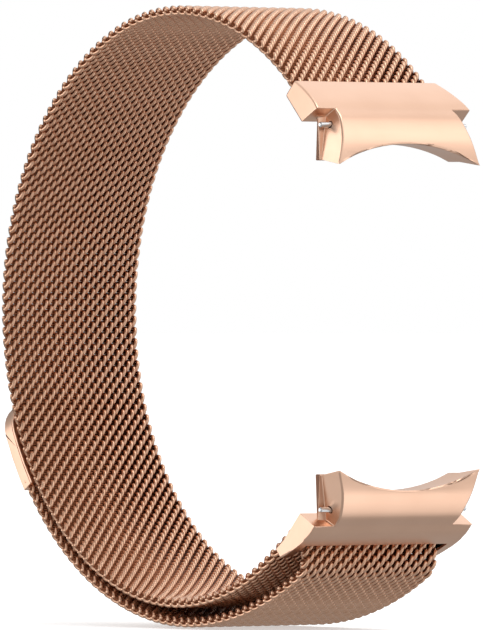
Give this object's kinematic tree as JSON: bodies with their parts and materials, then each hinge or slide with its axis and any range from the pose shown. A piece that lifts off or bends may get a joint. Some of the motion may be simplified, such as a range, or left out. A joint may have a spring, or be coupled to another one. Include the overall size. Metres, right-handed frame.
{
  "type": "watch strap",
  "caption": "Woven metal loop watch strap with a magnetic clasp and curved quick-release end connectors for a round case.",
  "frame": {"origin": "midway between the two spring bar axes, where the middle of the watch case would sit", "axes": "+Z points to 12 o'clock, -Y out of the watch face and +X across the band; the loop closes on the +Y side round the wrist"},
  "size_m": [0.0228, 0.0628, 0.07],
  "materials": {
    "rose_gold_weave": "woven rose gold plated stainless wire",
    "rose_gold_satin": "satin rose gold plated stainless steel",
    "bar_steel": "polished stainless steel",
    "magnet_nickel": "nickel plated magnet"
  },
  "bodies": {
    "band": {"band_lower_back": "rose_gold_weave"},
    "upper_back": {"band_upper_back": "rose_gold_weave"},
    "top": {"band_top": "rose_gold_weave"},
    "front": {"band_front": "rose_gold_weave"},
    "upper_end": {"upper_connector": "rose_gold_satin", "band_captive_end": "rose_gold_weave", "band_retaining_pin": "bar_steel", "upper_spring_bar_tube": "bar_steel", "upper_spring_bar_fixed_tip": "bar_steel", "upper_spring_bar_spring": "bar_steel"},
    "upper_release": {"upper_spring_bar_sliding_tip": "bar_steel", "upper_release_lever": "bar_steel"},
    "lower_end": {"lower_connector": "rose_gold_satin", "crossbar": "rose_gold_satin", "lower_spring_bar_tube": "bar_steel", "lower_spring_bar_fixed_tip": "bar_steel", "lower_spring_bar_spring": "bar_steel"},
    "lower_release": {"lower_spring_bar_sliding_tip": "bar_steel", "lower_release_lever": "bar_steel"},
    "tail": {"tail_lower": "rose_gold_weave"},
    "tail_tip": {"tail_upper": "rose_gold_weave"},
    "clasp": {"clasp_cover": "rose_gold_satin", "clasp_base_plate": "rose_gold_satin", "tail_end_bar": "bar_steel", "clasp_magnet_left": "magnet_nickel", "clasp_magnet_right": "magnet_nickel"}
  },
  "joints": [
    {"name": "back_flex", "type": "hinge", "parent": "band", "child": "upper_back", "pos_m": [0, 0.05657, 0.01422], "axis": [-1, 0, 0], "range_deg": [-6, 30]},
    {"name": "top_flex", "type": "hinge", "parent": "upper_back", "child": "top", "pos_m": [0, 0.04312, 0.02992], "axis": [-1, 0, 0], "range_deg": [-6, 30]},
    {"name": "front_flex", "type": "hinge", "parent": "top", "child": "front", "pos_m": [0, 0.02401, 0.0343], "axis": [-1, 0, 0], "range_deg": [-6, 30]},
    {"name": "upper_end_hinge", "type": "hinge", "parent": "front", "child": "upper_end", "pos_m": [0, 0.00619, 0.02595], "axis": [-1, 0, 0], "range_deg": [-20, 45]},
    {"name": "upper_tip_release", "type": "slide", "parent": "upper_end", "child": "upper_release", "axis": [1, 0, 0], "range_m": [0, 0.0015], "stiffness_N_per_m": 300, "springref_m": -0.002, "deforming": ["upper_spring_bar_spring"]},
    {"name": "lower_end_swivel", "type": "hinge", "parent": "band", "child": "lower_end", "pos_m": [0, 0.00572, -0.02542], "axis": [-1, 0, 0], "range_deg": [-15, 15]},
    {"name": "lower_tip_release", "type": "slide", "parent": "lower_end", "child": "lower_release", "axis": [1, 0, 0], "range_m": [0, 0.0015], "stiffness_N_per_m": 300, "springref_m": -0.002, "deforming": ["lower_spring_bar_spring"]},
    {"name": "tail_peel", "type": "hinge", "parent": "band", "child": "tail", "pos_m": [0, 0.00676, -0.02946], "axis": [-1, 0, 0], "range_deg": [0, 50]},
    {"name": "tail_flex", "type": "hinge", "parent": "tail", "child": "tail_tip", "pos_m": [0, 0.03193, -0.03374], "axis": [-1, 0, 0], "range_deg": [0, 30]},
    {"name": "clasp_hinge", "type": "hinge", "parent": "tail_tip", "child": "clasp", "pos_m": [0, 0.05398, -0.02017], "axis": [-1, 0, 0], "range_deg": [0, 25]}
  ]
}
